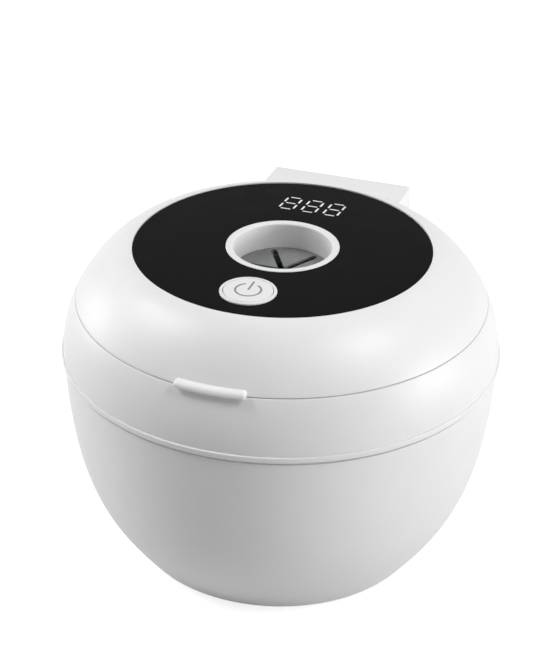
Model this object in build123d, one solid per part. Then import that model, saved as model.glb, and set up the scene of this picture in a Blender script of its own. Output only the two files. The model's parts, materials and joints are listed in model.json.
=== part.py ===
from build123d import *
import os
from math import cos, degrees, radians, sin

# Round desk-top contact lens cleaner: a bowl with a hinged domed lid over a small water tank.
# Millimetres.  The origin is the centre of the resting plane, +Z is up, -Y is the front (the lid's
# lift tab and power button) and +Y is the hinge side.

# Main heights
panel_top_z = 72.2          # top face of the black panel above the resting plane
lid_seam_drop = 11.1        # from the panel's top face down to the parting plane of the lid
bowl_seam_drop = 22.8       # from the panel's top face down to the seam between body ring and bowl
foot_height = 1.0           # how far the rubber feet hold the bowl off the surface

# Dome that the lid and the body ring share
body_radius = 47.6          # widest radius of the dome, at the seam between body ring and bowl
panel_radius = 32.0         # black panel
panel_gap = 0.15            # between the panel's edge and the lid
lip_height = 0.25           # the lid's lip above the panel
lip_width = 2.0             # lip and panel ledge, outside the panel's edge
shoulder_run = 3.7          # nearly flat stretch outside the lip
shoulder_fall = 0.35        # fall over that stretch
brow_radius = 39.5          # where the dome turns down
brow_drop = 2.7             # below the panel's top face
belly_rise = 11.5           # how far above the bowl seam the wall starts to lean in
dome_leans = (0.0, 6.0, 37.0, 78.0, 90.0)   # tilt of the dome's face at the points of its curve
lid_wall = 1.8
ring_wall = 2.0
seam_gap = 0.2              # open line between lid and body ring
edge_break = 0.15           # small chamfer on meeting edges

# Bowl
bead_height = 1.35          # rolled rim of the bowl
bead_reach = 0.4            # how far the rim stands out from the body ring above it
bead_step = 0.5             # how far the rim stands out from the bowl below it
bowl_wall = 2.0
flank_radius = 46.5         # control point of the bowl's upper flank
flank_drop = 29.4           # below the rim bead
heel_radius = 40.35         # control point where the bowl turns in
heel_rise = 10.1            # above the bowl's underside
foot_radius = 32.7          # flat underside
heel_pull = 1.6             # inner curve's control point in from the outer one
floor_pull = 1.0            # inner curve's lower end in from the flat underside's edge
foot_round = 0.8            # edge of the flat underside
skirt_depth = 5.0           # the body ring's skirt inside the bowl
skirt_wall = 1.4
skirt_gap = 0.35

# Fits
slip = 0.05                 # pieces of one body that are pushed together
running = 0.05              # pin in a bore that turns on it
swing_gap = 0.35            # round faces that pass each other
slide_gap = 0.15            # button in its bezel
segment_slip = 0.01         # display bars in the panel
head_gap = 0.2              # round a screw in a counterbore
hole_spare = 0.4            # pilot hole beyond the screw's end

# Deck and tank
deck_drop = 1.9             # deck below the parting plane
deck_thickness = 2.0
labyrinth_rise = 1.0        # upstand inside the lid's edge, above the parting plane
labyrinth_gap = 0.5
labyrinth_wall = 1.0
labyrinth_back = 20.0       # the upstand stops here, clear of the hinge
tank_inset = 16.1           # tank's inner wall in from the body's widest radius
tank_wall = 0.8
tank_depth = 30.0
tank_corner = 4.0
tank_flange = 3.5
tank_hole_gap = 0.3         # between the tank and the deck's edge
seal_thickness = 0.6
seal_inset = 0.5            # seal's inner edge outside the deck's hole
seal_width = 2.2
piezo_radius = 20.0
piezo_thickness = 2.6

# Base plate and feet
cover_radius = 21.3
cover_thickness = 2.0
floor_thickness = 2.0
floor_opening = 15.0        # service opening in the bowl's floor
pad_circle = 17.0           # feet and cover screws stand on this circle
pad_radius = 3.2
pad_thickness = 1.6
pad_round = 0.3
pad_count = 4
cover_screw_circle = 17.6
cover_screw_count = 4
boss_radius = 2.6
cover_boss_height = 4.0

# Screws
screw_radius = 0.95
head_radius = 1.9
head_height = 1.1
cover_screw_length = 6.0
cover_head_sunk = 0.1
board_screw_length = 5.0

# Main board and what it carries
board_radius = 31.5
board_thickness = 1.6
board_post_height = 7.0
board_post_circle = 25.5
board_post_angles = (25.0, 155.0, 270.0)
battery_length = 36.0
battery_width = 20.0
battery_height = 8.0
battery_front = 2.0         # the cell's near face from the board's middle
battery_round = 1.5
coil_radius = 5.5
coil_height = 9.0
coil_core_radius = 2.0
coil_waist = 1.0            # winding below the bobbin's flanges
coil_flange = 1.0
coil_spot = (-11.0, 11.0)
capacitor_radius = 4.0
capacitor_height = 11.0
capacitor_round = 0.6
capacitor_spots = ((10.0, 8.0), (10.0, 17.0))
chip_height = 1.2
chip_spots = ((0.0, 12.0), (-1.0, 3.0), (20.0, 0.0), (-21.0, 1.0))
chip_sides = (5.0, 4.0, 3.5, 3.0)
socket_width = 9.0
socket_height = 3.2
socket_depth = 7.6
socket_shell = 0.35
socket_round = 1.3
socket_back_wall = 1.0
socket_inset = 8.0          # socket's mouth in from the body's widest radius
socket_tongue_width = 6.6
socket_tongue_thickness = 0.7
socket_tongue_setback = 0.8
socket_clearance = 0.3
tongue_half_width = 6.0
tongue_overhang = 4.0

# Black panel, well, button
panel_thickness = 1.5
panel_ledge = 3.6           # ledge of the lid under the panel's edge
ledge_thickness = 1.3
well_radius = 10.6
well_depth = 5.7            # panel's top face to the slit disc
well_rim_overlap = 0.2      # rim beyond the tube, over the panel
well_rim_height = 0.2
well_tube_wall = 1.4
well_edge_round = 0.15
disc_seat = 0.55            # ledge in the tube that the slit disc sits under
disc_thickness = 1.2
slit_count = 6
slit_width = 1.4
slit_reach = 10.0
retainer_thickness = 1.0
retainer_opening = 9.9
button_offset = 22.0        # button's centre in front of the axis
cap_radius = 5.15
cap_rise = 0.45             # cap's top above the panel
cap_round = 0.2
cap_flange_width = 0.6      # stop flange under the bezel
cap_flange_thickness = 1.0
bezel_wall = 0.4
bezel_overlap = 0.25        # bezel's rim over the panel
bezel_height = 0.4
bezel_round = 0.3
bezel_skirt = 0.3           # bezel's neck below the panel
cap_stem_radius = 1.5
button_travel = 0.5
icon_radius = 2.67          # centre line of the power symbol's ring
icon_stroke = 0.45
icon_gap_angle = 29.0       # half of the ring's opening
icon_bar_reach = 3.75
icon_depth = 0.2

# Display
digit_offset = 20.9         # digits' centre behind the axis
digit_count = 3
digit_pitch = 5.1
digit_height = 6.35
digit_width = 3.65
digit_lean = 5.0            # degrees
segment_stroke = 0.42
segment_gap = 0.5
segment_depth = 0.4
display_margin = 1.0

# Inside the lid
lid_board_inner = 13.0
lid_board_radius = 31.0
lid_board_drop = 5.6        # panel's top face to the board's top face
lid_post_root = 0.5         # posts sunk in the ledge
lid_post_circle = 29.2
lid_post_radius = 1.7
lid_post_angles = (90.0, 210.0, 330.0)
lid_screw_length = 3.4
switch_side = 5.2
switch_height = 1.5
plunger_radius = 1.25
plunger_rise = 1.0
plunger_sunk = 0.5
plunger_spare = 0.1
liner_rise = 1.3            # liner's underside above the parting plane
liner_thickness = 1.2
liner_tail_gap = 0.2        # the liner is cut straight in front of the hinge
liner_boss_radius = 2.2
liner_boss_count = 4
liner_screw_length = 4.4
gasket_setback = 0.5        # gasket's inner edge outside the tank's inner wall
gasket_width = 2.2
magnet_radius = 2.5
magnet_thickness = 1.2
magnet_skin = 0.8           # deck left over the body's magnet

# Lift tab
tab_reach = 1.3             # how far it stands out from the lid's lower edge
tab_height = 1.1            # above the lid's edge
tab_length = 15.5
tab_round = 0.8             # upper edge
tail_width = 32.0
tail_inset = 3.25           # tail's back in from the body's widest radius
tail_depth = 8.0
tail_drop = 3.0             # tail's flat top below the panel's top face
tail_side_wall = 2.0
tail_round = 0.25
knuckle_radius = 3.0
hinge_rise = 3.3            # pin above the parting plane
ear_width = 4.0
ear_gap = 0.4               # beside each ear
ear_front = 3.4             # ear's foot in front of the pin
ear_back = 0.5              # ear's foot behind the pin
pin_radius = 1.25
pin_end_gap = 0.3

# Lens case
case_tank_gap = 4.4         # between the caps and the tank's wall
case_cap_spacing = 3.0      # between the two caps
case_well_wall = 1.4
case_floor = 1.5
case_height = 11.0
case_bridge_width = 10.0
case_bridge_height = 3.0
cap_skirt_gap = 0.3
cap_skirt_wall = 1.1
cap_skirt_height = 6.0
cap_top_thickness = 1.2
cap_rib_count = 20
cap_rib_radius = 0.45
cap_rib_drop = 0.6          # ribs end below the cap's top

# Levels worked out from the above
lid_seam_z = panel_top_z - lid_seam_drop
bowl_seam_z = panel_top_z - bowl_seam_drop
lid_edge_z = lid_seam_z + seam_gap / 2
ring_top_z = lid_seam_z - seam_gap / 2
bead_bottom_z = bowl_seam_z - bead_height
bead_radius = body_radius + bead_reach
bowl_radius = bead_radius - bead_step
deck_z = lid_seam_z - deck_drop
flange_z = deck_z + seal_thickness
tank_rim_z = flange_z + tank_wall
tank_floor_z = tank_rim_z - tank_depth
tank_bottom_z = tank_floor_z - tank_wall
cover_top_z = foot_height + cover_thickness
floor_z = cover_top_z + floor_thickness
recess_radius = cover_radius + slip
flank_floor_z = foot_height + bowl_wall
board_bottom_z = floor_z + board_post_height
board_z = board_bottom_z + board_thickness
panel_bottom_z = panel_top_z - panel_thickness
lid_board_z = panel_top_z - lid_board_drop
lid_board_bottom_z = lid_board_z - board_thickness
liner_z = lid_seam_z + liner_rise
liner_top_z = liner_z + liner_thickness
tail_top_z = panel_top_z - tail_drop
hinge_z = lid_seam_z + hinge_rise
tail_back_y = body_radius - tail_inset
tail_front_y = tail_back_y - tail_depth
liner_back = tail_front_y - liner_tail_gap
socket_mouth_y = body_radius - socket_inset
hinge_y = tail_back_y - knuckle_radius
ear_outer_x = tail_width / 2 - tail_side_wall - ear_gap
ear_inner_x = ear_outer_x - ear_width
bore_radius = screw_radius + slip
well_tube_radius = well_radius + well_tube_wall
well_rim_radius = well_tube_radius + well_rim_overlap
disc_radius = well_radius + disc_seat
bezel_inner_radius = cap_radius + slide_gap
bezel_neck_radius = bezel_inner_radius + bezel_wall
bezel_radius = bezel_neck_radius + bezel_overlap
tank_inner_radius = body_radius - tank_inset
tank_hole_radius = tank_inner_radius + tank_wall + tank_hole_gap
pad_sunk = pad_thickness - foot_height
cover_head_seat_z = foot_height + head_height + cover_head_sunk
cap_flange_top_z = panel_bottom_z - bezel_skirt
cap_flange_z = cap_flange_top_z - cap_flange_thickness
plunger_top_z = lid_board_z + switch_height + plunger_rise
gasket_inner = tank_inner_radius + gasket_setback
gasket_outer = gasket_inner + gasket_width
cap_outer_radius = (tank_inner_radius - case_tank_gap - case_cap_spacing / 2) / 2
cap_inner_radius = cap_outer_radius - cap_skirt_wall
case_well_radius = cap_inner_radius - cap_skirt_gap
case_pitch = 2 * cap_outer_radius + case_cap_spacing
case_rim_z = tank_floor_z + case_height


def disc(radius, low, high, x=0.0, y=0.0):
    upright = Cylinder(radius, high - low, align=(Align.CENTER, Align.CENTER, Align.MIN))
    return Pos(x, y, low) * upright


def ring(outer, inner, low, high, x=0.0, y=0.0):
    return disc(outer, low, high, x, y) - disc(inner, low, high, x, y)


def block(x_span, y_span, z_span):
    size = [span[1] - span[0] for span in (x_span, y_span, z_span)]
    middle = [(span[1] + span[0]) / 2 for span in (x_span, y_span, z_span)]
    return Pos(*middle) * Box(*size)


def rod_along_x(radius, x_span, y, z):
    length = x_span[1] - x_span[0]
    return Pos((x_span[1] + x_span[0]) / 2, y, z) * Rot(0, 90, 0) * Cylinder(radius, length)


def turned(*edges):
    return revolve(make_face(Plane.XZ * Curve(edges)), Axis.Z)


def on_circle(radius, angles):
    return [(radius * cos(radians(angle)), radius * sin(radians(angle))) for angle in angles]


def even_angles(count, start=0.0):
    return [start + 360.0 / count * step for step in range(count)]


def screw(x, y, seat_z, length, up):
    # A pan-head screw whose head bears on seat_z; the shank runs up or down from there.
    shank_end = seat_z + length if up else seat_z - length
    head_end = seat_z - head_height if up else seat_z + head_height
    head = disc(head_radius, min(seat_z, head_end), max(seat_z, head_end), x, y)
    shank = disc(screw_radius, min(seat_z, shank_end), max(seat_z, shank_end), x, y)
    return head + shank


def dome_curve(inset):
    # Outer (inset 0) or inner face of the dome, from the panel's lip down to the bowl seam.
    lip_z = panel_top_z + lip_height
    outer_points = (
        (panel_radius + panel_gap, lip_z),
        (panel_radius + shoulder_run, lip_z - shoulder_fall),
        (brow_radius, panel_top_z - brow_drop),
        (body_radius, bowl_seam_z + belly_rise),
        (body_radius, bowl_seam_z),
    )
    points = []
    for (x, z), lean in zip(outer_points, dome_leans):
        points.append((x - inset * sin(radians(lean)), z - inset * cos(radians(lean))))
    return Bezier(*points)


def dome_radius(z, inset=0.0):
    # Radius of the dome's outer (or inset) face at height z, by halving the curve's parameter.
    curve = dome_curve(inset)
    low, high = 0.0, 1.0
    for _ in range(40):
        middle = (low + high) / 2
        if (curve @ middle).Y > z:
            low = middle
        else:
            high = middle
    return (curve @ low).X


# Places of screws and feet, and of pieces that lie against the dome's inner face
pad_angles = even_angles(pad_count, 45.0)
cover_screw_angles = even_angles(cover_screw_count)
liner_boss_angles = even_angles(liner_boss_count, 45.0)
liner_radius = dome_radius(liner_top_z, lid_wall) - panel_gap
labyrinth_radius = dome_radius(lid_seam_z + labyrinth_rise, lid_wall) - labyrinth_gap
liner_boss_circle = (gasket_outer + labyrinth_radius - labyrinth_wall) / 2
magnet_offset = (tank_hole_radius + dome_radius(liner_top_z + magnet_thickness, lid_wall)) / 2


def dome_wall(thickness):
    outer = dome_curve(0.0)
    inner = dome_curve(thickness)
    return turned(outer, Line(outer @ 1, inner @ 1), inner, Line(inner @ 0, outer @ 0))


def dome_solid():
    outer = dome_curve(0.0)
    foot = (0.0, bowl_seam_z)
    crown = (0.0, (outer @ 0).Y)
    return turned(outer, Line(outer @ 1, foot), Line(foot, crown), Line(crown, outer @ 0))


def everything_above(z):
    across = (-body_radius * 2, body_radius * 2)
    return block(across, across, (z, panel_top_z * 2))


def tail_outline(width):
    # The lid's tail: flat top, upright back, and a lower edge rounded about the hinge pin.
    upper = block((-width / 2, width / 2), (tail_front_y, tail_back_y), (hinge_z, tail_top_z))
    lower = block((-width / 2, width / 2), (tail_front_y, hinge_y), (hinge_z - knuckle_radius, hinge_z))
    tail = upper + lower + rod_along_x(knuckle_radius, (-width / 2, width / 2), hinge_y, hinge_z)
    back_corner = tail.edges().filter_by(Axis.X).sort_by(lambda edge: edge.center().Y + edge.center().Z)[-1]
    return fillet(back_corner, tail_round)


def ear_room():
    # What the body's two ears sweep inside the lid's tail, seen from the lid.
    room = Part()
    for side in (-1, 1):
        near = side * (ear_inner_x - ear_gap)
        far = side * (ear_outer_x + ear_gap)
        span = (min(near, far), max(near, far))
        room += rod_along_x(knuckle_radius + swing_gap, span, hinge_y, hinge_z)
        front = hinge_y - ear_front - swing_gap
        room += block(span, (front, tail_back_y + 1), (lid_seam_z - 1, hinge_z))
    return room


def lift_tab():
    root = dome_radius(lid_edge_z + tab_height, lid_wall / 2)
    outer = dome_radius(lid_edge_z) + tab_reach
    sweep = degrees(tab_length / outer)
    section = Rectangle(outer - root, tab_height, align=(Align.MIN, Align.MIN))
    upper_corner = section.vertices().group_by(Axis.Y)[-1].sort_by(Axis.X)[-1]
    section = fillet(upper_corner, tab_round)
    bar = revolve(Plane.XZ * Pos(root, lid_edge_z) * section, Axis.Z, revolution_arc=sweep)
    return Rot(0, 0, -90 - sweep / 2) * bar


def lower_bowl():
    rim = (bead_radius, bowl_seam_z - edge_break)
    rim_top = (bead_radius - edge_break, bowl_seam_z)
    bead_low = (bead_radius, bead_bottom_z + bead_step)
    outer = Bezier(
        (bowl_radius, bead_bottom_z),
        (flank_radius, bead_bottom_z - flank_drop),
        (heel_radius, foot_height + heel_rise),
        (foot_radius, foot_height),
    )
    top_inner = (bowl_radius - bowl_wall, bowl_seam_z)
    inner_start = (bowl_radius - bowl_wall, bead_bottom_z)
    inner = Bezier(
        inner_start,
        (flank_radius - bowl_wall, bead_bottom_z - flank_drop),
        (heel_radius - heel_pull, foot_height + heel_rise + bowl_wall),
        (foot_radius - floor_pull, flank_floor_z),
    )
    recess_edge = (recess_radius, foot_height)
    recess_top = (recess_radius, cover_top_z)
    opening_low = (floor_opening, cover_top_z)
    opening_top = (floor_opening, floor_z)
    step_top = (recess_radius + bowl_wall, floor_z)
    step_foot = (recess_radius + bowl_wall, flank_floor_z)
    shell = turned(
        Line(rim_top, rim),
        Line(rim, bead_low),
        Line(bead_low, outer @ 0),
        outer,
        Line(outer @ 1, recess_edge),
        Line(recess_edge, recess_top),
        Line(recess_top, opening_low),
        Line(opening_low, opening_top),
        Line(opening_top, step_top),
        Line(step_top, step_foot),
        Line(step_foot, inner @ 1),
        inner,
        Line(inner_start, top_inner),
        Line(top_inner, rim_top),
    )
    foot_edge = shell.edges().filter_by(GeomType.CIRCLE).group_by(Axis.Z)[0].sort_by(SortBy.RADIUS)[-1]
    shell = fillet(foot_edge, foot_round)
    for x, y in on_circle(cover_screw_circle, cover_screw_angles):
        shell += disc(boss_radius, floor_z, floor_z + cover_boss_height, x, y)
        shell -= disc(bore_radius, cover_top_z - 1, cover_top_z + cover_screw_length + hole_spare, x, y)
    for x, y in on_circle(board_post_circle, board_post_angles):
        shell += disc(boss_radius, foot_height + bowl_wall / 2, board_bottom_z, x, y)
        shell -= disc(bore_radius, board_z - board_screw_length - hole_spare, board_bottom_z + 1, x, y)
    half = socket_width / 2 + socket_clearance
    mouth = block(
        (-half, half),
        (socket_mouth_y - socket_depth, body_radius),
        (board_z - socket_clearance, board_z + socket_height + socket_clearance),
    )
    return shell - mouth


def body_ring():
    band = dome_wall(ring_wall) - everything_above(ring_top_z)
    deck_low = deck_z - deck_thickness
    room = dome_solid() - everything_above(ring_top_z)
    deck = disc(body_radius + 1, deck_low, deck_z) - disc(tank_hole_radius, deck_low, deck_z)
    band += deck & room
    upstand_top = lid_seam_z + labyrinth_rise
    upstand = ring(labyrinth_radius, labyrinth_radius - labyrinth_wall, deck_z, upstand_top)
    upstand -= block((-body_radius, body_radius), (labyrinth_back, body_radius), (deck_z, upstand_top))
    band += upstand
    skirt_outer = bowl_radius - bowl_wall - skirt_gap
    skirt_inner = skirt_outer - skirt_wall
    band += ring(skirt_outer, skirt_inner, bowl_seam_z - skirt_depth, bowl_seam_z + skirt_wall)
    band += ring(body_radius + 1, skirt_inner, bowl_seam_z, bowl_seam_z + skirt_wall) & room
    band -= disc(magnet_radius + slip, deck_low, deck_z - magnet_skin, 0, -magnet_offset)
    for side in (-1, 1):
        span = sorted((side * ear_inner_x, side * ear_outer_x))
        foot = block(span, (hinge_y - ear_front, hinge_y + ear_back), (deck_low, hinge_z))
        band += foot + rod_along_x(knuckle_radius, span, hinge_y, hinge_z)
    band -= rod_along_x(pin_radius + slip, (-tail_width, tail_width), hinge_y, hinge_z)
    widest_edges = band.edges().filter_by(GeomType.CIRCLE).group_by(SortBy.RADIUS)[-1]
    return chamfer(widest_edges, edge_break)


def base_cover():
    plate = disc(cover_radius, foot_height, cover_top_z)
    pocket_top = foot_height + pad_sunk
    for x, y in on_circle(pad_circle, pad_angles):
        plate -= disc(pad_radius + slip, foot_height, pocket_top, x, y)
    for x, y in on_circle(cover_screw_circle, cover_screw_angles):
        plate -= disc(screw_radius + head_gap, foot_height, cover_top_z, x, y)
        plate -= disc(head_radius + head_gap, foot_height, cover_head_seat_z, x, y)
    return plate


def rubber_feet():
    pads = []
    for x, y in on_circle(pad_circle, pad_angles):
        pad = disc(pad_radius, 0, pad_thickness, x, y)
        pads.append(fillet(pad.edges().sort_by(Axis.Z)[0], pad_round))
    return Compound(pads)


def base_screws():
    return Compound([screw(x, y, cover_head_seat_z, cover_screw_length, up=True)
                     for x, y in on_circle(cover_screw_circle, cover_screw_angles)])


def tank():
    outer_radius = tank_inner_radius + tank_wall
    cup = disc(outer_radius, tank_bottom_z, tank_rim_z)
    cup = fillet(cup.edges().sort_by(Axis.Z)[0], tank_corner + tank_wall)
    hollow = disc(tank_inner_radius, tank_floor_z, tank_rim_z + 1)
    hollow = fillet(hollow.edges().sort_by(Axis.Z)[0], tank_corner)
    flange = disc(outer_radius + tank_flange, flange_z, tank_rim_z)
    return cup + flange - hollow


def tank_seal():
    inner = tank_hole_radius + seal_inset
    return ring(inner + seal_width, inner, deck_z, flange_z)


def piezo_disc():
    return disc(piezo_radius, tank_bottom_z - piezo_thickness, tank_bottom_z)


def main_board():
    plate = disc(board_radius, board_bottom_z, board_z)
    tongue_end = socket_mouth_y - socket_depth + tongue_overhang
    plate += block((-tongue_half_width, tongue_half_width), (0, tongue_end), (board_bottom_z, board_z))
    for x, y in on_circle(board_post_circle, board_post_angles):
        plate -= disc(bore_radius, board_bottom_z, board_z, x, y)
    return plate


def board_screws():
    return Compound([screw(x, y, board_z, board_screw_length, up=False)
                     for x, y in on_circle(board_post_circle, board_post_angles)])


def battery_pack():
    near = -battery_front
    cell = block(
        (-battery_length / 2, battery_length / 2),
        (near - battery_width, near),
        (board_z, board_z + battery_height),
    )
    return fillet(cell.edges().filter_by(Axis.X), battery_round)


def driver_coil():
    top = board_z + coil_height
    bobbin = disc(coil_radius, board_z, board_z + coil_flange, *coil_spot)
    bobbin += disc(coil_radius, top - coil_flange, top, *coil_spot)
    bobbin += disc(coil_radius - coil_waist, board_z, top, *coil_spot)
    return bobbin - disc(coil_core_radius, board_z + coil_flange, top, *coil_spot)


def board_capacitors():
    cans = []
    for x, y in capacitor_spots:
        can = disc(capacitor_radius, board_z, board_z + capacitor_height, x, y)
        cans.append(fillet(can.edges().sort_by(Axis.Z)[-1], capacitor_round))
    return Compound(cans)


def board_chips():
    chips = []
    for (x, y), side in zip(chip_spots, chip_sides):
        half = side / 2
        chips.append(block((x - half, x + half), (y - half, y + half), (board_z, board_z + chip_height)))
    return Compound(chips)


def usb_socket():
    half = socket_width / 2
    back = socket_mouth_y - socket_depth
    top = board_z + socket_height
    shell = block((-half, half), (back, socket_mouth_y), (board_z, top))
    shell = fillet(shell.edges().filter_by(Axis.Y), socket_round)
    mouth = block(
        (-half + socket_shell, half - socket_shell),
        (back + socket_back_wall, socket_mouth_y),
        (board_z + socket_shell, top - socket_shell),
    )
    mouth = fillet(mouth.edges().filter_by(Axis.Y), socket_round - socket_shell)
    middle = board_z + socket_height / 2
    tongue = block(
        (-socket_tongue_width / 2, socket_tongue_width / 2),
        (back, socket_mouth_y - socket_tongue_setback),
        (middle - socket_tongue_thickness / 2, middle + socket_tongue_thickness / 2),
    )
    return shell - mouth + tongue


def hinge_pin():
    half = tail_width / 2 - pin_end_gap
    return rod_along_x(pin_radius, (-half, half), hinge_y, hinge_z)


def body_magnet():
    top = deck_z - magnet_skin
    return disc(magnet_radius, top - magnet_thickness, top, 0, -magnet_offset)


def lens_case_body():
    case = Part()
    for x in (-case_pitch / 2, case_pitch / 2):
        case += disc(case_well_radius, tank_floor_z, case_rim_z, x)
    bridge_half = case_bridge_width / 2
    bridge_top = tank_floor_z + case_bridge_height
    link_span = (-case_pitch / 2, case_pitch / 2)
    case += block(link_span, (-bridge_half, bridge_half), (tank_floor_z, bridge_top))
    for x in (-case_pitch / 2, case_pitch / 2):
        case -= disc(case_well_radius - case_well_wall, tank_floor_z + case_floor, case_rim_z, x)
    return case


def lens_cap(x):
    top = case_rim_z + cap_top_thickness
    low = top - cap_skirt_height
    cap = disc(cap_outer_radius, low, top, x)
    for dx, dy in on_circle(cap_outer_radius, even_angles(cap_rib_count)):
        cap += disc(cap_rib_radius, low, top - cap_rib_drop, x + dx, dy)
    return cap - disc(cap_inner_radius, low, case_rim_z, x)


def lid_shell():
    shell = dome_wall(lid_wall) & everything_above(lid_edge_z)
    ledge_inner = panel_radius - panel_ledge
    ledge_low = panel_bottom_z - ledge_thickness
    ledge = ring(panel_radius + lip_width, ledge_inner, ledge_low, panel_bottom_z)
    lip = ring(panel_radius + lip_width, panel_radius + panel_gap, ledge_low, panel_top_z)
    shell += (ledge + lip) & dome_solid()
    for x, y in on_circle(liner_boss_circle, liner_boss_angles):
        shell += disc(liner_boss_radius, liner_top_z, panel_bottom_z, x, y) & dome_solid()
    for x, y in on_circle(lid_post_circle, lid_post_angles):
        shell += disc(lid_post_radius, lid_board_z, ledge_low + lid_post_root, x, y)
    shell -= block((-tail_width / 2, tail_width / 2), (tail_front_y, body_radius), (lid_seam_z, tail_top_z))
    shell += tail_outline(tail_width)
    shell -= ear_room()
    shell += lift_tab()
    for x, y in on_circle(liner_boss_circle, liner_boss_angles):
        shell -= disc(bore_radius, liner_top_z - 1, liner_z + liner_screw_length + hole_spare, x, y)
    for x, y in on_circle(lid_post_circle, lid_post_angles):
        hole_top = lid_board_bottom_z + lid_screw_length + hole_spare
        shell -= disc(bore_radius, lid_board_z - 1, hole_top, x, y)
    return shell - rod_along_x(pin_radius + running, (-tail_width, tail_width), hinge_y, hinge_z)


def display_panel():
    plate = disc(panel_radius, panel_bottom_z, panel_top_z)
    plate -= disc(well_tube_radius + slip, panel_bottom_z, panel_top_z)
    plate -= disc(bezel_neck_radius + slip, panel_bottom_z, panel_top_z, 0, -button_offset)
    for bar in segment_bars(segment_slip):
        plate -= bar
    return plate


def segment_bars(grow):
    # Seven bars per digit, leaning a little, sunk in the panel's top face.
    rise = digit_height / 2 - segment_stroke / 2
    reach = digit_width / 2 - segment_stroke / 2
    flat = digit_width - segment_stroke - 2 * segment_gap
    upright = digit_height / 2 - segment_stroke / 2 - 2 * segment_gap
    places = [(0, rise, False), (0, 0, False), (0, -rise, False)]
    places += [(side * reach, level * rise / 2, True) for side in (-1, 1) for level in (-1, 1)]
    bars = []
    for number in range(digit_count):
        centre_x = (number - (digit_count - 1) / 2) * digit_pitch
        for x, y, standing in places:
            length = (upright if standing else flat) + 2 * grow
            stroke = segment_stroke + 2 * grow
            size = (stroke, length) if standing else (length, stroke)
            turn = -digit_lean if standing else 0.0
            shifted = centre_x + x + y * sin(radians(digit_lean))
            place = Pos(shifted, digit_offset + y, panel_top_z - segment_depth) * Rot(0, 0, turn)
            bars.append(place * Box(*size, segment_depth, align=(Align.CENTER, Align.CENTER, Align.MIN)))
    return bars


def display_segments():
    return Compound(segment_bars(0.0))


def display_module():
    half_x = digit_count * digit_pitch / 2 + display_margin
    half_y = digit_height / 2 + display_margin
    depth_span = (digit_offset - half_y, digit_offset + half_y)
    return block((-half_x, half_x), depth_span, (lid_board_z, panel_bottom_z))


def well_collar():
    rim_top = panel_top_z + well_rim_height
    disc_top = panel_top_z - well_depth
    collar = disc(well_tube_radius, liner_z, rim_top) + disc(well_rim_radius, panel_top_z, rim_top)
    collar -= disc(well_radius, disc_top, rim_top)
    collar -= disc(disc_radius + slip, liner_z, disc_top)
    rim_edges = collar.edges().filter_by(GeomType.CIRCLE).group_by(Axis.Z)[-1]
    return fillet(rim_edges, well_edge_round)


def well_slit_disc():
    top = panel_top_z - well_depth
    low = top - disc_thickness
    plate = disc(disc_radius, low, top)
    for angle in even_angles(slit_count):
        run = slit_reach - slit_width / 2
        slot = block((0, run), (-slit_width / 2, slit_width / 2), (low, top))
        slot += disc(slit_width / 2, low, top, run)
        plate -= Rot(0, 0, angle) * slot
    return plate


def disc_retainer():
    top = panel_top_z - well_depth - disc_thickness
    return ring(disc_radius, retainer_opening, top - retainer_thickness, top)


def button_bezel():
    top = panel_top_z + bezel_height
    low = panel_bottom_z - bezel_skirt
    bezel = disc(bezel_neck_radius, low, top, 0, -button_offset)
    bezel += disc(bezel_radius, panel_top_z, top, 0, -button_offset)
    rim_edge = bezel.edges().filter_by(GeomType.CIRCLE).group_by(Axis.Z)[-1].sort_by(SortBy.RADIUS)[-1]
    bezel = fillet(rim_edge, bezel_round)
    return bezel - disc(bezel_inner_radius, low, top, 0, -button_offset)


def icon_shapes(low, high):
    inner = icon_radius - icon_stroke / 2
    arc = ring(icon_radius + icon_stroke / 2, inner, low, high)
    reach = icon_radius * 2
    spread = reach * sin(radians(icon_gap_angle))
    depth = reach * cos(radians(icon_gap_angle))
    wedge = make_face(Polyline((0, 0), (spread, depth), (-spread, depth), close=True))
    arc -= Pos(0, 0, low) * extrude(wedge, high - low)
    bar = block((-icon_stroke / 2, icon_stroke / 2), (0, icon_bar_reach), (low, high))
    return Pos(0, -button_offset, 0) * Compound([arc, bar])


def button_cap():
    top = panel_top_z + cap_rise
    cap = disc(cap_radius, cap_flange_z, top, 0, -button_offset)
    cap = fillet(cap.edges().sort_by(Axis.Z)[-1], cap_round)
    cap += disc(cap_radius + cap_flange_width, cap_flange_z, cap_flange_top_z, 0, -button_offset)
    cap += disc(cap_stem_radius, plunger_top_z, cap_flange_z, 0, -button_offset)
    for piece in icon_shapes(top - icon_depth, top).solids():
        cap -= piece
    return cap


def power_icon():
    top = panel_top_z + cap_rise
    return icon_shapes(top - icon_depth, top)


def switch_plunger():
    low = lid_board_z + switch_height - plunger_sunk
    return disc(plunger_radius, low, plunger_top_z, 0, -button_offset)


def tact_switch():
    half = switch_side / 2
    top = lid_board_z + switch_height
    body = block((-half, half), (-button_offset - half, -button_offset + half), (lid_board_z, top))
    well_low = top - plunger_sunk - button_travel - plunger_spare
    return body - disc(plunger_radius + slip, well_low, top, 0, -button_offset)


def lid_board():
    plate = ring(lid_board_radius, lid_board_inner, lid_board_bottom_z, lid_board_z)
    for x, y in on_circle(lid_post_circle, lid_post_angles):
        plate -= disc(bore_radius, lid_board_bottom_z, lid_board_z, x, y)
    return plate


def lid_board_screws():
    return Compound([screw(x, y, lid_board_bottom_z, lid_screw_length, up=True)
                     for x, y in on_circle(lid_post_circle, lid_post_angles)])


def lid_liner():
    plate = ring(liner_radius, well_tube_radius + slip, liner_z, liner_top_z)
    plate -= block((-liner_radius, liner_radius), (liner_back, liner_radius), (liner_z, liner_top_z))
    for x, y in on_circle(liner_boss_circle, liner_boss_angles):
        plate -= disc(bore_radius, liner_z, liner_top_z, x, y)
    return plate


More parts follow.
